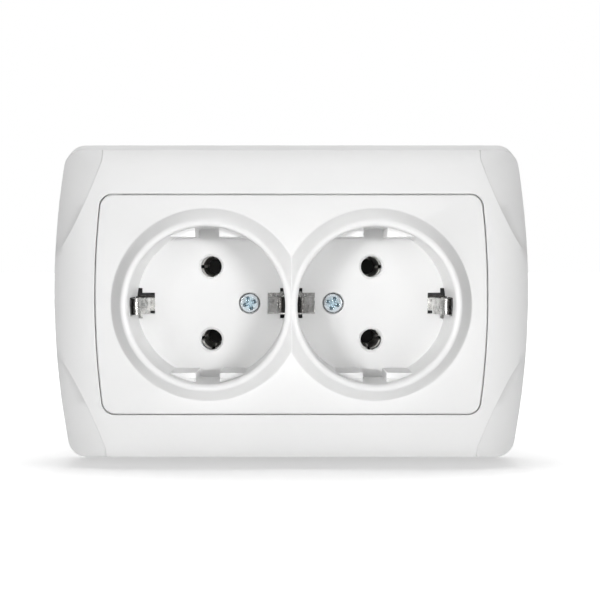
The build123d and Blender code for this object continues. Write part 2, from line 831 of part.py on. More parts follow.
# Terminals: a clamp block behind each rail, with the wire hole to the rear
with BuildPart() as live_terminal:
    with BuildSketch(wall_plane(-strip_back)):
        with Locations(terminal_spots[0]):
            Rectangle(terminal_side, terminal_side)
    extrude(amount=-terminal_depth)
    with BuildSketch(wall_plane(-terminal_back)):
        with Locations((terminal_x, pin_z - wire_hole_drop)):
            Circle(wire_hole_radius)
    extrude(amount=wire_hole_depth, mode=Mode.SUBTRACT)
    with BuildSketch(Plane.XY.offset(terminal_top)):
        with Locations((terminal_x, terminal_screw_y)):
            Circle(screw_radius + thread_play)
    extrude(amount=-terminal_side / 2 - wire_hole_drop, mode=Mode.SUBTRACT)
live_terminal.part.label = "live_terminal"
export_step(live_terminal.part, "parts/live_terminal.step")

with BuildPart() as neutral_terminal:
    add(live_terminal.part.rotate(Axis.Y, 180))
neutral_terminal.part.label = "neutral_terminal"
export_step(neutral_terminal.part, "parts/neutral_terminal.step")

with BuildPart() as terminal_screws:
    for side in (-1, 1):
        spot = (side * terminal_x, terminal_screw_y)
        with BuildSketch(Plane.XY.offset(side * terminal_top)):
            with Locations(spot):
                Circle(terminal_head_radius)
        extrude(amount=side * terminal_head_height)
        with BuildSketch(Plane.XY.offset(side * terminal_top)):
            with Locations(spot):
                Circle(screw_radius)
        extrude(amount=-side * terminal_screw_length)
        with BuildSketch(Plane.XY.offset(side * (terminal_top + terminal_head_height))):
            cross_recess([spot], terminal_head_radius)
        extrude(amount=-side * cross_depth, mode=Mode.SUBTRACT)
terminal_screws.part.label = "terminal_screws"
export_step(terminal_screws.part, "parts/terminal_screws.step")

# Pivot pins of the claws
with BuildPart() as claw_pins:
    with BuildSketch(Plane.YZ):
        with Locations((pivot_depth, pivot_z), (pivot_depth, -pivot_z)):
            Circle(pivot_radius)
    extrude(amount=ear_x + ear_thick, both=True)
claw_pins.part.label = "claw_pins"
export_step(claw_pins.part, "parts/claw_pins.step")

# Claws: a lever on the pin, with a long toothed arm and a short foot under the screw
pivot = (pivot_depth, pivot_z)
arm_end = (pivot_depth + claw_arm_length, pivot_z - claw_arm_drop)
tooth_tip = (arm_end[0] + claw_tooth_lean, pivot_z + claw_tooth_rise)
with BuildPart() as claw_top:
    with BuildSketch(Plane.YZ):
        with BuildLine():
            Polyline(pivot, arm_end, tooth_tip)
        trace(line_width=claw_thick)
        with BuildLine():
            Line(pivot, (pivot_depth, claw_screw_z - claw_foot))
        trace(line_width=claw_thick)
        with Locations(pivot):
            Circle(pivot_radius + claw_knuckle)
    extrude(amount=claw_half_width, both=True)
    with BuildSketch(Plane.YZ):
        with Locations(pivot):
            Circle(pivot_radius + pivot_play)
    extrude(amount=claw_half_width, both=True, mode=Mode.SUBTRACT)
    # two teeth, with a gap for the box's screw post
    with BuildSketch(wall_plane(-arm_end[0] + 2 * claw_thick)):
        with Locations((0, arm_end[1] + claw_tooth_root)):
            Rectangle(claw_tooth_gap, pivot_z, align=(Align.CENTER, Align.MIN))
    extrude(amount=-claw_arm_length, mode=Mode.SUBTRACT)
claw_top.part.label = "claw_top"
export_step(claw_top.part, "parts/claw_top.step")

with BuildPart() as claw_bottom:
    add(claw_top.part.rotate(Axis.Y, 180))
claw_bottom.part.label = "claw_bottom"
export_step(claw_bottom.part, "parts/claw_bottom.step")

# Claw screws: each is threaded in the strap and bears on the foot of its claw
claw_tip_depth = pivot_depth - claw_thick / 2 - claw_tip_gap
with BuildPart() as claw_screw_top:
    with BuildSketch(wall_plane(claw_head_out)):
        with Locations((0, claw_screw_z)):
            Circle(claw_head_radius)
    extrude(amount=claw_head_height)
    chamfer(claw_screw_top.edges().group_by(Axis.Y)[0], screw_head_bevel)
    with BuildSketch(wall_plane(claw_head_out)):
        with Locations((0, claw_screw_z)):
            Circle(claw_screw_radius)
    extrude(amount=-claw_head_out - claw_tip_depth)
    chamfer(claw_screw_top.edges().group_by(Axis.Y)[-1], claw_screw_tip)
    with BuildSketch(wall_plane(claw_head_out + claw_head_height)):
        cross_recess([(0, claw_screw_z)], claw_head_radius)
    extrude(amount=-cross_depth, taper=cross_taper, mode=Mode.SUBTRACT)
claw_screw_top.part.label = "claw_screw_top"
export_step(claw_screw_top.part, "parts/claw_screw_top.step")

with BuildPart() as claw_screw_bottom:
    add(claw_screw_top.part.rotate(Axis.Y, 180))
claw_screw_bottom.part.label = "claw_screw_bottom"
export_step(claw_screw_bottom.part, "parts/claw_screw_bottom.step")
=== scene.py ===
import json
import math

import bpy
from mathutils import Matrix, Vector


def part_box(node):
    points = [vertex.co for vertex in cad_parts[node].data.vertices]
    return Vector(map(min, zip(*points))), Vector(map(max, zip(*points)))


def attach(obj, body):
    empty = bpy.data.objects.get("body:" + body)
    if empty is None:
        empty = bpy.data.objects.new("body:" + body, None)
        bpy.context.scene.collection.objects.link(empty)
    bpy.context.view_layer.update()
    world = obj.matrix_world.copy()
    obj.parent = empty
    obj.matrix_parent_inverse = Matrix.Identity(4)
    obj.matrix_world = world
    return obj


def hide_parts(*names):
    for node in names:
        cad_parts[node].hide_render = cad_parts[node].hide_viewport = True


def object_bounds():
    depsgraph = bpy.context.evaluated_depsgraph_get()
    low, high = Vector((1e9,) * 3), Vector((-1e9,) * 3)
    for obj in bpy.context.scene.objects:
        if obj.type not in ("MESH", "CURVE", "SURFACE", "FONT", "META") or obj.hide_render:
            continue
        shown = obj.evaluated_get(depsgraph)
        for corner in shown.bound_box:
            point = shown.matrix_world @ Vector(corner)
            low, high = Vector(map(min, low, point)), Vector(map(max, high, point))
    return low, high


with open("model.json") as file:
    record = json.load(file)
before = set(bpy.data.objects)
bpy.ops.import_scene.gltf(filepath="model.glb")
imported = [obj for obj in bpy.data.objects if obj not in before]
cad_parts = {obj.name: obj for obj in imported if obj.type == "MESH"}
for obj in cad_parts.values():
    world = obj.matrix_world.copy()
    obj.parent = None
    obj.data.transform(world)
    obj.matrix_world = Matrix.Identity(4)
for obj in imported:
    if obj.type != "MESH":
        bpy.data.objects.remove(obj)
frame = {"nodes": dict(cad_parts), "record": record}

nodes = frame["nodes"]
cad_box = [list(corner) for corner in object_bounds()]
MM = 0.001

# Camera: a little above the middle of the outlet, looking slightly down
CAMERA_DISTANCE = 0.2713
CAMERA_HEIGHT = 0.00994
CAMERA_PITCH = 3.7
CAMERA_LENS = 61.7
CAMERA_SENSOR = 36.0
CAMERA_SHIFT = (0.0145, 0.0524)
CAMERA_CLIP = 0.01

# Room: its light on the outlet and how bright glossy faces see it, in front and behind
AMBIENT_FRONT, AMBIENT_BEHIND = 0.05, 0.5
AMBIENT_START, AMBIENT_END = 0.0, 0.5
MIRROR_FRONT, MIRROR_BEHIND = 0.1, 1.0
MIRROR_START, MIRROR_END = -0.2, 0.2

# Soft lamps in front, above and behind
FRONT_LAMP = {"place": (0, -0.9, 0.3), "size": 0.5, "power": 1.3}
TOP_LAMP = {"place": (0, 0.03, 0.6), "size": 0.34, "power": 1.1}
BACK_LAMP = {"place": (0, 0.9, 0.05), "size": 0.18, "power": 4.0, "mirrored": False}

# Beams from each side that light the far half of the outlet
BEAM_TURNS = (22, 26, 30, 34)
BEAM_RISE = 0.05
BEAM_DISTANCE = 1.0
BEAM_AIM = 0.15
BEAM_OVERLAP = 0.005
BEAM_BLEND = 0.15
BEAM_RADIUS = 0.05
BEAM_POWER = 25.0

# Floor, white where the outlet's shadow ends, its glow dimmer near the outlet as painted shadow
# over the real one
FLOOR_COLOUR = (0.86, 0.86, 0.86, 1)
FLOOR_REACH = 6.0
FLOOR_WIDTH_SHARE = 0.45
FLOOR_NEAR, FLOOR_FAR = 0.026, 0.06
FLOOR_GLOW_NEAR, FLOOR_GLOW_FAR = 0.41, 1.0

# Noise in the surfaces: features per metre, the band that is used, and what stains and streaks add
DRIFT_SCALE = 28.0
RIPPLE_SCALE = 160.0
STREAK_SCALE = 2400.0
NOISE_LOW, NOISE_HIGH = 0.3, 0.7
CLOUD_LOW, CLOUD_HIGH = 0.32, 0.68
SPOT_LOW, SPOT_HIGH = 0.52, 0.72
PATCH_LOW, PATCH_HIGH = 0.35, 0.6
STAIN_ROUGHNESS = 0.2
STREAK_HEIGHT = 0.12

# Edge colour, part rubbed wear and part painted highlight: the cosine of the turn where it starts
# and is full, and its least strength
EDGE_TURN_START, EDGE_TURN_END = 0.99, 0.86
EDGE_SAMPLES = 4
RUB_LEAST = 0.2

# Shading: points this near are joined, and edges sharper than these angles stay crisp
WELD_DISTANCE = 0.001 * MM
CRISP_ANGLE = 30.0
FASTENER_CRISP_ANGLE = 40.0

# Painted shade on the legs of the earth clips, across from the middle of their socket
SOCKET_HALF_SPACING = 20.8 * MM
LEG_START, LEG_END = 17.0 * MM, 18.3 * MM
LEG_FRONT, LEG_BACK = -4.5 * MM, -3.5 * MM
LEG_PAINTED_SHADE = (0.07, 0.068, 0.065, 1)

# Painted shade on the two inner clips, which are darker all over
INNER_START, INNER_END = 6.5 * MM, 8.0 * MM
INNER_PAINTED_SHADE = 0.7
INNER_LEG_STEP = 0.5 * MM
INNER_STRIP_SHARE = 0.6

# Painted shade on the strip behind the clips, on the faces to the front and above a height
STRIP_START, STRIP_END = 1.2 * MM, 1.5 * MM
STRIP_FACING_START, STRIP_FACING_END = -0.5, -0.8

# Slot of the contact retainer, drawn in to the edges of the earth rail
RETAINER_SLOT_EDGE = 2.2 * MM
RAIL_EDGE = 2.01 * MM
EDGE_TOLERANCE = 0.02 * MM

# Rims of the cover screws, where the blue plating fades to silver
RIM_START, RIM_END = 0.8 * MM, 2.3 * MM
RIM_SILVER = (0.41, 0.42, 0.43, 1)
RIM_SILVERING = 0.85

# Screws: the head height, shank radius and thread pitch of each kind
COVER_SCREW = (1.2 * MM, 1.45 * MM, 0.5 * MM)
EARTH_SCREW = (2.0 * MM, 1.7 * MM, 0.7 * MM)
TERMINAL_SCREW = (2.0 * MM, 1.45 * MM, 0.5 * MM)
CLAW_SCREW = (2.0 * MM, 1.6 * MM, 0.7 * MM)
COVER_SCREW_TURN = 20
TERMINAL_SCREW_LENGTH = 5.0 * MM

# Screws and rivets: points in a ring, and rings in a head, in its edge and in a turn of thread
RING_POINTS = 96
HEAD_RINGS = 22
EDGE_RINGS = 5
THREAD_RINGS = 8

# Screws: what all kinds share, with each tip given as its length and its share of the shank
HEAD_EDGE = 0.3 * MM
HEAD_DOME = 0.12 * MM
CROSS_HALF_WIDTH = 0.42 * MM
CROSS_RIM = 0.75 * MM
CROSS_DEPTH = 0.9 * MM
CROSS_WALL_SLOPE = 3.0
CROSS_END_SLOPE = 2.5
THREAD_HALF_DEPTH_SHARE = 0.27
PLAIN_TIP = (0.6 * MM, 0.72)
CLAW_TIP = (1.2 * MM, 0.25)

# Rivets of the support strap
RIVET_HEAD_RADIUS = 2.2 * MM
RIVET_HEAD_HEIGHT = 0.7 * MM
RIVET_SHANK_RADIUS = 1.25 * MM

bpy.context.scene.view_settings.view_transform = "Standard"


# Node helpers
def set_sockets(tree, node, sockets):
    """Sets named sockets of a node, or links them where the value is a socket."""
    for name, value in sockets.items():
        socket = node.inputs[name]
        if isinstance(value, bpy.types.NodeSocket):
            tree.links.new(value, socket)
        else:
            socket.default_value = value


def add_node(tree, kind, **sockets):
    """A new node, with underscores in its socket names standing for spaces."""
    node = tree.nodes.new(kind)
    set_sockets(tree, node, {name.replace("_", " "): value for name, value in sockets.items()})
    return node


def add_math(tree, operation, first, second=0.0):
    """The result of one sum on one or two values."""
    node = tree.nodes.new("ShaderNodeMath")
    node.operation = operation
    set_sockets(tree, node, {0: first, 1: second})
    return node.outputs[0]


def add_vector_math(tree, operation, first, second=(0, 0, 0)):
    """The results of one sum on one or two vectors."""
    node = tree.nodes.new("ShaderNodeVectorMath")
    node.operation = operation
    set_sockets(tree, node, {0: first, 1: second})
    return node.outputs


def split_vector(tree, vector):
    """The X, Y and Z of a vector."""
    return add_node(tree, "ShaderNodeSeparateXYZ", Vector=vector).outputs


def new_group(name, inputs, outputs):
    """An empty shader node group with its named sockets."""
    group = bpy.data.node_groups.new(name, "ShaderNodeTree")
    for socket_name, kind, value in inputs:
        socket = group.interface.new_socket(socket_name, in_out="INPUT", socket_type=kind)
        socket.default_value = value
    for socket_name, kind in outputs:
        group.interface.new_socket(socket_name, in_out="OUTPUT", socket_type=kind)
    start = group.nodes.new("NodeGroupInput")
    end = group.nodes.new("NodeGroupOutput")
    return group, start.outputs, end.inputs


def place_group(tree, group, values):
    """A node group placed in a material with its own values."""
    node = tree.nodes.new("ShaderNodeGroup")
    node.node_tree = group
    set_sockets(tree, node, values)
    return node.outputs


def noise(tree, place, scale, detail=3.0, roughness=0.5):
    """Fractal noise with a number of features per metre."""
    return add_node(
        tree,
        "ShaderNodeTexNoise",
        Vector=place,
        Scale=scale,
        Detail=detail,
        Roughness=roughness,
    ).outputs["Fac"]


def remap(tree, value, start, end, low, high):
    """A value carried from one range to another, held at both ends."""
    node = tree.nodes.new("ShaderNodeMapRange")
    set_sockets(
        tree,
        node,
        {"Value": value, "From Min": start, "From Max": end, "To Min": low, "To Max": high},
    )
    return node.outputs["Result"]


def blend_colour(tree, factor, first, second):
    """Mixes two colours by a factor."""
    node = tree.nodes.new("ShaderNodeMix")
    node.data_type = "RGBA"
    for name, value in (("Factor", factor), ("A", first), ("B", second)):
        kind = "VALUE" if name == "Factor" else "RGBA"
        socket = next(s for s in node.inputs if s.name == name and s.type == kind)
        if isinstance(value, bpy.types.NodeSocket):
            tree.links.new(value, socket)
        else:
            socket.default_value = value
    return next(s for s in node.outputs if s.type == "RGBA")


def object_place(tree):
    """The surface point in the outlet's own frame, in metres."""
    return tree.nodes.new("ShaderNodeTexCoord").outputs["Object"]


def face_normal(tree):
    """The direction that the surface faces."""
    return tree.nodes.new("ShaderNodeNewGeometry").outputs["Normal"]


# Shared surface effects
def make_moulded_skin():
    """Moulded plastic: a faint drift of tone, uneven gloss and a fine texture."""
    group, given, result = new_group(
        "moulded skin",
        [
            ("Light Tone", "NodeSocketColor", (1, 1, 1, 1)),
            ("Dark Tone", "NodeSocketColor", (1, 1, 1, 1)),
            ("Gloss Low", "NodeSocketFloat", 0.3),
            ("Gloss High", "NodeSocketFloat", 0.4),
            ("Grain Scale", "NodeSocketFloat", 2500.0),
        ],
        [
            ("Colour", "NodeSocketColor"),
            ("Roughness", "NodeSocketFloat"),
            ("Height", "NodeSocketFloat"),
        ],
    )
    place = object_place(group)
    drift_noise = noise(group, place, DRIFT_SCALE, detail=2.0)
    drift = remap(group, drift_noise, NOISE_LOW, NOISE_HIGH, 0.0, 1.0)
    ripple = noise(group, place, RIPPLE_SCALE, detail=1.0)
    grain = noise(group, place, given["Grain Scale"], detail=2.0)
    gloss = remap(group, ripple, NOISE_LOW, NOISE_HIGH, given["Gloss Low"], given["Gloss High"])
    link = group.links.new
    link(blend_colour(group, drift, given["Dark Tone"], given["Light Tone"]), result["Colour"])
    link(gloss, result["Roughness"])
    link(add_math(group, "ADD", grain, ripple), result["Height"])
    return group


def make_plated_sheet():
    """Plated metal: drawn streaks, cloudy plating, dark stains and a slightly wavy face."""
    group, given, result = new_group(
        "plated sheet",
        [
            ("Bright", "NodeSocketColor", (1, 1, 1, 1)),
            ("Dull", "NodeSocketColor", (1, 1, 1, 1)),
            ("Stain", "NodeSocketColor", (0, 0, 0, 1)),
            ("Stain Amount", "NodeSocketFloat", 0.3),
            ("Gloss Low", "NodeSocketFloat", 0.2),
            ("Gloss High", "NodeSocketFloat", 0.4),
            ("Stretch", "NodeSocketVector", (1.0, 1.0, 1.0)),
            ("Cloud Scale", "NodeSocketFloat", 300.0),
            ("Wave Scale", "NodeSocketFloat", 600.0),
        ],
        [
            ("Colour", "NodeSocketColor"),
            ("Roughness", "NodeSocketFloat"),
            ("Height", "NodeSocketFloat"),
        ],
    )
    place = object_place(group)
    drawn = add_vector_math(group, "MULTIPLY", place, given["Stretch"])["Vector"]
    streaks = noise(group, drawn, STREAK_SCALE, detail=4.0, roughness=0.6)
    cloud_noise = noise(group, place, given["Cloud Scale"], detail=4.0, roughness=0.6)
    clouds = remap(group, cloud_noise, CLOUD_LOW, CLOUD_HIGH, 0.0, 1.0)
    spot_noise = noise(group, place, given["Wave Scale"], detail=5.0, roughness=0.65)
    spots = remap(group, spot_noise, SPOT_LOW, SPOT_HIGH, 0.0, 1.0)
    wave = noise(group, place, given["Wave Scale"], detail=1.0)
    stained = add_math(group, "MULTIPLY", spots, given["Stain Amount"])
    plating = blend_colour(group, clouds, given["Dull"], given["Bright"])
    link = group.links.new
    link(blend_colour(group, stained, plating, given["Stain"]), result["Colour"])
    gloss = remap(group, streaks, NOISE_LOW, NOISE_HIGH, given["Gloss Low"], given["Gloss High"])
    roughened = add_math(group, "MULTIPLY", stained, STAIN_ROUGHNESS)
    link(add_math(group, "ADD", gloss, roughened), result["Roughness"])
    grooves = add_math(group, "MULTIPLY", streaks, STREAK_HEIGHT)
    link(add_math(group, "ADD", grooves, wave), result["Height"])
    return group


def make_edge_wear_and_highlight():
    """Edges with a small radius to catch the light, and a mask of their brighter colour, part
    rubbed wear and part painted highlight.
    """
    group, given, result = new_group(
        "edge wear and highlight",
        [
            ("Radius", "NodeSocketFloat", 0.2 * MM),
            ("Patch Scale", "NodeSocketFloat", 700.0),
        ],
        [("Mask", "NodeSocketFloat"), ("Normal", "NodeSocketVector")],
    )
    rounded = group.nodes.new("ShaderNodeBevel")
    rounded.samples = EDGE_SAMPLES
    link = group.links.new
    link(given["Radius"], rounded.inputs["Radius"])
    normal = rounded.outputs["Normal"]
    facing = add_vector_math(group, "DOT_PRODUCT", normal, face_normal(group))["Value"]
    turned = remap(group, facing, EDGE_TURN_START, EDGE_TURN_END, 0.0, 1.0)
    patches = noise(group, object_place(group), given["Patch Scale"], roughness=0.6)
    rubbed = remap(group, patches, PATCH_LOW, PATCH_HIGH, RUB_LEAST, 1.0)
    # The mask brightens edges: part rubbed wear, part painted highlight
    link(add_math(group, "MULTIPLY", turned, rubbed), result["Mask"])
    link(normal, result["Normal"])
    return group


moulded_skin = make_moulded_skin()
plated_sheet = make_plated_sheet()
edge_wear_and_highlight = make_edge_wear_and_highlight()


# Materials
def finish(name, group, values, bump, edge, **shader_values):
    """A material with its surface and its edges from two groups.

    bump gives the height and strength of the surface's texture, edge gives the radius and the
    brighter colour of its edges, part rubbed wear and part painted highlight."""
    material = bpy.data.materials.new(name)
    material.use_nodes = True
    tree = material.node_tree
    tree.nodes.clear()
    surface = place_group(tree, group, values)
    # Edge colour blended in by the mask: part rubbed wear, part painted highlight
    edges = place_group(tree, edge_wear_and_highlight, {"Radius": edge[0]})
    texture = add_node(
        tree,
        "ShaderNodeBump",
        Height=surface["Height"],
        Distance=bump[0],
        Strength=bump[1],
        Normal=edges["Normal"],
    )
    shader = add_node(
        tree,
        "ShaderNodeBsdfPrincipled",
        Base_Color=blend_colour(tree, edges["Mask"], surface["Colour"], edge[1]),
        Roughness=surface["Roughness"],
        Normal=texture.outputs["Normal"],
        **shader_values,
    )
    output = tree.nodes.new("ShaderNodeOutputMaterial")
    tree.links.new(shader.outputs["BSDF"], output.inputs["Surface"])
    return material


white_plastic = finish(
    "white plastic",
    moulded_skin,
    {
        "Light Tone": (0.875, 0.875, 0.872, 1),
        "Dark Tone": (0.855, 0.855, 0.855, 1),
        "Gloss Low": 0.30,
        "Gloss High": 0.38,
        "Grain Scale": 3200.0,
    },
    bump=(0.01 * MM, 0.25),
    edge=(0.12 * MM, (0.88, 0.88, 0.88, 1)),
    Specular_IOR_Level=0.45,
)
base_plastic = finish(
    "base plastic",
    moulded_skin,
    {
        "Light Tone": (0.032, 0.032, 0.034, 1),
        "Dark Tone": (0.020, 0.020, 0.021, 1),
        "Gloss Low": 0.42,
        "Gloss High": 0.58,
        "Grain Scale": 2600.0,
    },
    bump=(0.02 * MM, 0.5),
    edge=(0.2 * MM, (0.06, 0.06, 0.062, 1)),
    Specular_IOR_Level=0.4,
)
blue_zinc = {
    "Bright": (0.46, 0.59, 0.66, 1),
    "Dull": (0.25, 0.33, 0.38, 1),
    "Stain": (0.30, 0.36, 0.40, 1),
    "Stain Amount": 0.35,
    "Gloss Low": 0.16,
    "Gloss High": 0.34,
    "Cloud Scale": 900.0,
    "Wave Scale": 1800.0,
}
zinc_edge = (0.15 * MM, (0.86, 0.92, 0.95, 1))
zinc_steel, cover_zinc = (
    finish(name, plated_sheet, blue_zinc, bump=(0.03 * MM, 0.6), edge=zinc_edge, Metallic=1.0)
    for name in ("zinc steel", "cover screw zinc")
)
strap_steel = finish(
    "strap steel",
    plated_sheet,
    {
        "Bright": (0.66, 0.67, 0.68, 1),
        "Dull": (0.47, 0.48, 0.50, 1),
        "Stain": (0.26, 0.25, 0.24, 1),
        "Stain Amount": 0.4,
        "Gloss Low": 0.28,
        "Gloss High": 0.46,
        "Stretch": (0.12, 1.0, 1.0),
        "Cloud Scale": 220.0,
        "Wave Scale": 420.0,
    },
    bump=(0.03 * MM, 0.4),
    edge=(0.2 * MM, (0.80, 0.80, 0.80, 1)),
    Metallic=1.0,
)
nickel_brass = finish(
    "nickel brass",
    plated_sheet,
    {
        "Bright": (0.90, 0.89, 0.87, 1),
        "Dull": (0.60, 0.60, 0.585, 1),
        "Stain": (0.10, 0.098, 0.095, 1),
        "Stain Amount": 0.7,
        "Gloss Low": 0.16,
        "Gloss High": 0.34,
        "Stretch": (1.0, 0.15, 1.0),
        "Cloud Scale": 420.0,
        "Wave Scale": 620.0,
    },
    bump=(0.16 * MM, 0.8),
    edge=(0.12 * MM, (0.85, 0.85, 0.83, 1)),
    Metallic=1.0,
)


def tint_colour(material, mask, tint):
    """Blends a material's colour into a tint where a mask is set."""
    tree = material.node_tree
    colour = tree.nodes["Principled BSDF"].inputs["Base Color"]
    tree.links.new(blend_colour(tree, mask, colour.links[0].from_socket, tint), colour)


def paint_shade_on_earth_clips(material):
    """Paints shade on the legs and the strip behind the clips, and all over the two inner clips."""
    tree = material.node_tree
    place = split_vector(tree, object_place(tree))
    outward = add_math(tree, "ABSOLUTE", place["X"])
    from_middle = add_math(tree, "SUBTRACT", outward, SOCKET_HALF_SPACING)
    across = add_math(tree, "ABSOLUTE", from_middle)
    ahead = remap(tree, place["Y"], LEG_FRONT, LEG_BACK, 1.0, 0.0)
    inner = remap(tree, outward, INNER_START, INNER_END, 1.0, 0.0)
    reach = add_math(tree, "ADD", across, add_math(tree, "MULTIPLY", inner, INNER_LEG_STEP))
    leg = remap(tree, reach, LEG_START, LEG_END, 0.0, 1.0)
    inner_shade = add_math(tree, "MULTIPLY", inner, INNER_PAINTED_SHADE)
    normal = split_vector(tree, face_normal(tree))
    front = remap(tree, normal["Y"], STRIP_FACING_START, STRIP_FACING_END, 0.0, 1.0)
    high = remap(tree, place["Z"], STRIP_START, STRIP_END, 0.0, 1.0)
    strip = add_math(tree, "MULTIPLY", front, add_math(tree, "SUBTRACT", 1.0, ahead))
    share = remap(tree, inner, 0.0, 1.0, 1.0, INNER_STRIP_SHARE)
    strip = add_math(tree, "MULTIPLY", strip, add_math(tree, "MULTIPLY", high, share))
    clip = add_math(tree, "MULTIPLY", add_math(tree, "MAXIMUM", leg, inner_shade), ahead)
    # The masks blend the clips' colour into painted shade
    tint_colour(material, add_math(tree, "MAXIMUM", clip, strip), LEG_PAINTED_SHADE)


def silver_rims(material, out_x):
    """Lets the blue of the plating fade to silver towards the rims of the two cover screws."""
    tree = material.node_tree
    place = split_vector(tree, object_place(tree))
    outward = add_math(tree, "ABSOLUTE", place["X"])
    across = add_math(tree, "SUBTRACT", outward, out_x)
    from_axis = add_node(tree, "ShaderNodeCombineXYZ", X=across, Z=place["Z"]).outputs[0]
    radius = add_vector_math(tree, "LENGTH", from_axis)["Value"]
    rim = remap(tree, radius, RIM_START, RIM_END, 0.0, RIM_SILVERING)
    tint_colour(material, rim, RIM_SILVER)


# Painted shade on the earth clips, where their slots are dark
paint_shade_on_earth_clips(nickel_brass)
sleeve_nickel = finish(
    "sleeve nickel",
    plated_sheet,
    {
        "Bright": (0.88, 0.87, 0.84, 1),
        "Dull": (0.70, 0.69, 0.66, 1),
        "Stain": (0.10, 0.10, 0.10, 1),
        "Stain Amount": 0.4,
        "Gloss Low": 0.45,
        "Gloss High": 0.60,
        "Stretch": (1.0, 0.15, 1.0),
        "Cloud Scale": 500.0,
        "Wave Scale": 700.0,
    },
    bump=(0.02 * MM, 0.5),
    edge=(0.25 * MM, (0.70, 0.69, 0.65, 1)),
    Metallic=1.0,
)
bare_brass = finish(
    "bare brass",
    plated_sheet,
    {
        "Bright": (0.78, 0.60, 0.29, 1),
        "Dull": (0.54, 0.39, 0.17, 1),
        "Stain": (0.20, 0.13, 0.06, 1),
        "Stain Amount": 0.4,
        "Gloss Low": 0.20,
        "Gloss High": 0.38,
        "Stretch": (0.2, 1.0, 1.0),
        "Cloud Scale": 350.0,
        "Wave Scale": 500.0,
    },
    bump=(0.02 * MM, 0.4),
    edge=(0.15 * MM, (0.90, 0.74, 0.42, 1)),
    Metallic=1.0,
)
finishes = {
    "white_plastic": white_plastic,
    "base_plastic": base_plastic,
    "zinc_steel": zinc_steel,
    "strap_steel": strap_steel,
    "nickel_brass": nickel_brass,
    "bare_brass": bare_brass,
}


def shade(piece, angle=CRISP_ANGLE):
    """Smooth shading, with edges sharper than an angle kept crisp."""
    for polygon in piece.data.polygons:
        polygon.use_smooth = True
    weld = piece.modifiers.new("weld", "WELD")
    weld.merge_threshold = WELD_DISTANCE
    split = piece.modifiers.new("crisp edges", "EDGE_SPLIT")
    split.split_angle = math.radians(angle)
    split.use_edge_sharp = False


for subpart in frame["record"]["subparts"]:
    piece = nodes[subpart["node"]]
    piece.data.materials.clear()
    piece.data.materials.append(finishes[subpart["material_slot"]])
    shade(piece)

# The contact sleeves have a duller plating than the earth rail
for name in ("live_rail", "neutral_rail"):
    nodes[name].data.materials[0] = sleeve_nickel


# Screws and rivets, as rings of points about an axis that runs from the head's top to the tip
def ring(shape):
    """Points round the axis, where shape gives the radius and the depth at each angle."""
    points = []
    for step in range(RING_POINTS):
        angle = 2 * math.pi * step / RING_POINTS
        radius, depth = shape(angle)
        points.append((radius * math.cos(angle), radius * math.sin(angle), depth))
    return points


def driver_cross(radius, angle, reach):
    """Depth of the driver's cross at a point of a screw head."""
    across = (abs(radius * math.cos(angle)), abs(radius * math.sin(angle)))
    depth = 0.0
    for along, beside in (across, across[::-1]):
        wall = min(1.0, max(0.0, CROSS_WALL_SLOPE * (1.0 - beside / CROSS_HALF_WIDTH)))
        floor = min(1.0, max(0.0, CROSS_END_SLOPE * (1.0 - along / reach)))
        depth = max(depth, CROSS_DEPTH * wall * floor)
    return depth


def rounded_edge(radius, depth, edge):
    """Rings that turn from a flat face into a straight side."""
    rings = []
    for step in range(EDGE_RINGS + 1):
        swing = math.radians(90.0 * step / EDGE_RINGS)
        out = radius - edge + edge * math.sin(swing)
        down = depth + edge * (1.0 - math.cos(swing))
        rings.append(ring(lambda angle: (out, down)))
    return rings


def screw_rings(head_radius, length, kind, turn=0.0, tip=PLAIN_TIP):
    """A machine screw with a domed head, a driver's cross, a thread and a bevelled tip."""
    head_height, shank_radius, pitch = kind
    flat_radius = head_radius - HEAD_EDGE
    reach = head_radius - CROSS_RIM
    rings = []
    for step in range(1, HEAD_RINGS):
        radius = flat_radius * step / HEAD_RINGS
        dome = HEAD_DOME * (radius / flat_radius) ** 2
        rings.append(ring(lambda angle: (radius, dome + driver_cross(radius, angle - turn, reach))))
    rings += rounded_edge(head_radius, HEAD_DOME, HEAD_EDGE)
    rings.append(ring(lambda angle: (head_radius, head_height)))
    rows = int((length - tip[0] - head_height) / pitch * THREAD_RINGS)
    for row in range(rows):
        depth = head_height + pitch * row / THREAD_RINGS

        def thread(angle):
            phase = 2 * math.pi * row / THREAD_RINGS - angle
            return shank_radius - THREAD_HALF_DEPTH_SHARE * pitch * (1.0 + math.cos(phase)), depth

        rings.append(ring(thread))
    rings.append(ring(lambda angle: (shank_radius * tip[1], length)))
    return rings


def rivet_rings(length):
    """A rivet with a domed head at each end."""
    rings = []
    for step in range(1, HEAD_RINGS + 1):
        swing = math.radians(90.0 * step / HEAD_RINGS)
        radius = RIVET_HEAD_RADIUS * math.sin(swing)
        depth = RIVET_HEAD_HEIGHT * (1.0 - math.cos(swing))
        rings.append(ring(lambda angle: (radius, depth)))
    rings.append(ring(lambda angle: (RIVET_SHANK_RADIUS, RIVET_HEAD_HEIGHT)))
    far_half = [[(x, y, length - z) for x, y, z in points] for points in rings[::-1]]
    return rings + far_half


def closed_skin(rings, seat):
    """Points and faces of a skin through rings, with a point at each end, moved to its seat."""
    ends = []
    for edge in (rings[0], rings[-1]):
        ends.append((0.0, 0.0, sum(point[2] for point in edge) / RING_POINTS))
    points = [ends[0]] + [point for points in rings for point in points] + [ends[1]]
    tail = 1 + (len(rings) - 1) * RING_POINTS
    faces = []
    for step in range(RING_POINTS):
        beside = (step + 1) % RING_POINTS
        faces.append((0, 1 + beside, 1 + step))
        for near in range(1, tail, RING_POINTS):
            far = near + RING_POINTS
            faces.append((near + step, near + beside, far + beside, far + step))
        faces.append((tail + step, tail + beside, len(points) - 1))
    return [seat @ Vector(point) for point in points], faces


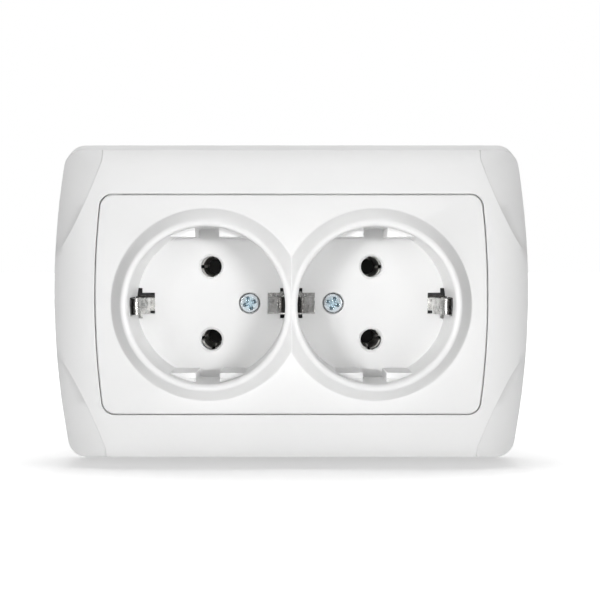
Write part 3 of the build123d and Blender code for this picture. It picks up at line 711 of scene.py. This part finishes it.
def seated(place, inward):
    """The seat of a fastener: its head's top at a place, its shank running inward."""
    turned = Vector(inward).to_track_quat("Z", "Y").to_matrix().to_4x4()
    return Matrix.Translation(place) @ turned


def stand_in(mesh, node, body, angle):
    """One piece that stands for a node of the frame."""
    piece = bpy.data.objects.new(mesh.name, mesh)
    bpy.context.scene.collection.objects.link(piece)
    shade(piece, angle)
    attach(piece, body)
    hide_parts(node)


def fasteners(name, node, body, slot, skins, material=None):
    """A node of screws or rivets, in its slot's finish or in one of its own."""
    points, faces = [], []
    for skin_points, skin_faces in skins:
        start = len(points)
        points += skin_points
        faces += [[start + corner for corner in face] for face in skin_faces]
    mesh = bpy.data.meshes.new(name)
    mesh.from_pydata(points, [], faces)
    mesh.materials.append(material or finishes[slot])
    stand_in(mesh, node, body, FASTENER_CRISP_ANGLE)


def middle(low, high):
    """The point midway between two corners."""
    return [(a + b) / 2 for a, b in zip(low, high)]


def make_cover_screws():
    """The two screws that hold the cover, with their crosses turned opposite ways."""
    low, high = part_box("cover_screws")
    head_radius = (high[2] - low[2]) / 2
    out_x = high[0] - head_radius
    skins = []
    for side in (-1, 1):
        turn = math.radians(side * COVER_SCREW_TURN)
        rings = screw_rings(head_radius, high[1] - low[1], COVER_SCREW, turn)
        skins.append(closed_skin(rings, seated((side * out_x, low[1], 0), (0, 1, 0))))
    silver_rims(cover_zinc, out_x)
    fasteners("cover_screw_pair", "cover_screws", "outlet", "zinc_steel", skins, cover_zinc)


def make_earth_screw():
    """The screw of the earth saddle, with its head to the wall."""
    low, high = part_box("earth_screw")
    centre = middle(low, high)
    rings = screw_rings((high[0] - low[0]) / 2, high[1] - low[1], EARTH_SCREW)
    skin = closed_skin(rings, seated((centre[0], high[1], centre[2]), (0, -1, 0)))
    fasteners("earth_clamp_screw", "earth_screw", "outlet", "zinc_steel", [skin])


def make_terminal_screws():
    """The clamp screws of the two terminals, one from below and one from above."""
    low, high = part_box("terminal_screws")
    head_radius = (high[1] - low[1]) / 2
    out_x = high[0] - head_radius
    depth = middle(low, high)[1]
    rings = screw_rings(head_radius, TERMINAL_SCREW_LENGTH, TERMINAL_SCREW)
    skins = []
    for side, top in ((-1, low[2]), (1, high[2])):
        skins.append(closed_skin(rings, seated((side * out_x, depth, top), (0, 0, -side))))
    fasteners("terminal_screw_pair", "terminal_screws", "outlet", "zinc_steel", skins)


def make_claw_screw(end):
    """The screw that spreads the claw at one end, on a body of its own."""
    node = f"claw_screw_{end}"
    low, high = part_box(node)
    centre = middle(low, high)
    head_radius = (high[0] - low[0]) / 2
    rings = screw_rings(head_radius, high[1] - low[1], CLAW_SCREW, tip=CLAW_TIP)
    skin = closed_skin(rings, seated((centre[0], low[1], centre[2]), (0, 1, 0)))
    fasteners(f"claw_machine_screw_{end}", node, node, "zinc_steel", [skin])


def make_strap_rivets():
    """The four rivets that hold the base on the support strap."""
    low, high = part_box("strap_rivets")
    out_x = high[0] - RIVET_HEAD_RADIUS
    out_z = high[2] - RIVET_HEAD_RADIUS
    rings = rivet_rings(high[1] - low[1])
    skins = []
    for side in (-1, 1):
        for way in (-1, 1):
            skins.append(closed_skin(rings, seated((side * out_x, low[1], way * out_z), (0, 1, 0))))
    fasteners("strap_rivet_set", "strap_rivets", "outlet", "strap_steel", skins)


def make_contact_retainer():
    """The retainer in its own form, holding the earth rail with no gap to see through."""
    mesh = nodes["contact_retainer"].data.copy()
    mesh.name = "contact_retainer_plate"
    for vertex in mesh.vertices:
        if abs(abs(vertex.co.z) - RETAINER_SLOT_EDGE) < EDGE_TOLERANCE:
            vertex.co.z = math.copysign(RAIL_EDGE, vertex.co.z)
    stand_in(mesh, "contact_retainer", "outlet", CRISP_ANGLE)


make_contact_retainer()
make_cover_screws()
make_earth_screw()
make_terminal_screws()
make_claw_screw("top")
make_claw_screw("bottom")
make_strap_rivets()


# Camera
camera_data = bpy.data.cameras.new("camera")
camera_data.sensor_width = CAMERA_SENSOR
camera_data.lens = CAMERA_LENS
camera_data.shift_x, camera_data.shift_y = CAMERA_SHIFT
camera_data.clip_start = CAMERA_CLIP
camera = bpy.data.objects.new("camera", camera_data)
camera.location = (0, -CAMERA_DISTANCE, CAMERA_HEIGHT)
camera.rotation_euler = (math.radians(90 - CAMERA_PITCH), 0, 0)
bpy.context.scene.collection.objects.link(camera)
bpy.context.scene.camera = camera


# Surroundings
def seen_rays(tree):
    """Masks of the camera's own rays, and of those with the mirrored and refracted ones added."""
    path = tree.nodes.new("ShaderNodeLightPath").outputs
    seen = add_math(tree, "MAXIMUM", path["Is Camera Ray"], path["Is Glossy Ray"])
    return path["Is Camera Ray"], add_math(tree, "MAXIMUM", seen, path["Is Transmission Ray"])


def make_world():
    """White to the camera and behind the outlet, with a dimmer room in front of it."""
    world = bpy.data.worlds.new("studio")
    world.use_nodes = True
    tree = world.node_tree
    tree.nodes.clear()
    direction = tree.nodes.new("ShaderNodeTexCoord").outputs["Generated"]
    inward = split_vector(tree, direction)["Y"]
    light = remap(tree, inward, AMBIENT_START, AMBIENT_END, AMBIENT_FRONT, AMBIENT_BEHIND)
    mirrored = remap(tree, inward, MIRROR_START, MIRROR_END, MIRROR_FRONT, MIRROR_BEHIND)
    from_camera, seen = seen_rays(tree)
    white = add_math(tree, "MAXIMUM", from_camera, mirrored)
    choose = tree.nodes.new("ShaderNodeMixShader")
    tree.links.new(seen, choose.inputs[0])
    for slot, strength in ((1, light), (2, white)):
        backdrop = add_node(tree, "ShaderNodeBackground", Color=(1, 1, 1, 1), Strength=strength)
        tree.links.new(backdrop.outputs[0], choose.inputs[slot])
    output = tree.nodes.new("ShaderNodeOutputWorld")
    tree.links.new(choose.outputs[0], output.inputs["Surface"])
    bpy.context.scene.world = world


def make_floor():
    """A pale floor that keeps the real shadow near the outlet, with a dimmer glow there as painted
    shadow, and turns white further off.
    """
    material = bpy.data.materials.new("floor")
    material.use_nodes = True
    tree = material.node_tree
    tree.nodes.clear()
    matt = add_node(tree, "ShaderNodeBsdfDiffuse", Color=FLOOR_COLOUR)
    flattened = (FLOOR_WIDTH_SHARE, 1.0, 0.0)
    spread = add_vector_math(tree, "MULTIPLY", object_place(tree), flattened)["Vector"]
    away = add_vector_math(tree, "LENGTH", spread)["Value"]
    # The glow is dimmer near the outlet: painted shadow added to the real one
    glow_with_painted_shadow = remap(tree, away, FLOOR_NEAR, FLOOR_FAR, FLOOR_GLOW_NEAR, FLOOR_GLOW_FAR)
    _, seen = seen_rays(tree)
    strength = add_math(tree, "MULTIPLY", seen, glow_with_painted_shadow)
    white = add_node(tree, "ShaderNodeEmission", Color=(1, 1, 1, 1), Strength=strength)
    both = tree.nodes.new("ShaderNodeAddShader")
    tree.links.new(matt.outputs[0], both.inputs[0])
    tree.links.new(white.outputs[0], both.inputs[1])
    output = tree.nodes.new("ShaderNodeOutputMaterial")
    tree.links.new(both.outputs[0], output.inputs["Surface"])
    mesh = bpy.data.meshes.new("floor")
    level = cad_box[0][2]
    signs = [(-1, -1), (1, -1), (1, 1), (-1, 1)]
    corners = [(x * FLOOR_REACH, y * FLOOR_REACH, level) for x, y in signs]
    mesh.from_pydata(corners, [], [(0, 1, 2, 3)])
    mesh.materials.append(material)
    floor = bpy.data.objects.new("floor", mesh)
    bpy.context.scene.collection.objects.link(floor)


def hang_lamp(data, place, aim):
    """Puts a lamp in its place, turned to a point and out of the camera's sight."""
    lamp = bpy.data.objects.new(data.name, data)
    lamp.location = place
    lamp.rotation_mode = "QUATERNION"
    lamp.rotation_quaternion = (Vector(aim) - Vector(place)).to_track_quat("-Z", "Y")
    lamp.visible_camera = False
    bpy.context.scene.collection.objects.link(lamp)
    return lamp


def soft_lamp(name, place, size, power, mirrored=True):
    """A square soft lamp turned to the outlet, which glossy faces may mirror."""
    data = bpy.data.lights.new(name, "AREA")
    data.size = size
    data.energy = power
    lamp = hang_lamp(data, place, (0, 0, 0))
    lamp.visible_glossy = mirrored


def side_beams(side):
    """Lamps in a row on one side, whose beams light the other half and stop at the middle."""
    for turn in BEAM_TURNS:
        angle = math.radians(turn)
        away = Vector((side * math.sin(angle), -math.cos(angle), BEAM_RISE))
        place = away.normalized() * BEAM_DISTANCE
        aim = Vector((-side * BEAM_AIM, 0, 0))
        stop = Vector((side * BEAM_OVERLAP, 0, 0))
        data = bpy.data.lights.new("side beam", "SPOT")
        data.energy = BEAM_POWER / len(BEAM_TURNS)
        data.spot_size = 2 * (aim - place).angle(stop - place)
        data.spot_blend = BEAM_BLEND
        data.shadow_soft_size = BEAM_RADIUS
        hang_lamp(data, place, aim)


make_world()
make_floor()
soft_lamp("front lamp", **FRONT_LAMP)
soft_lamp("top lamp", **TOP_LAMP)
soft_lamp("back lamp", **BACK_LAMP)
side_beams(-1)
side_beams(1)
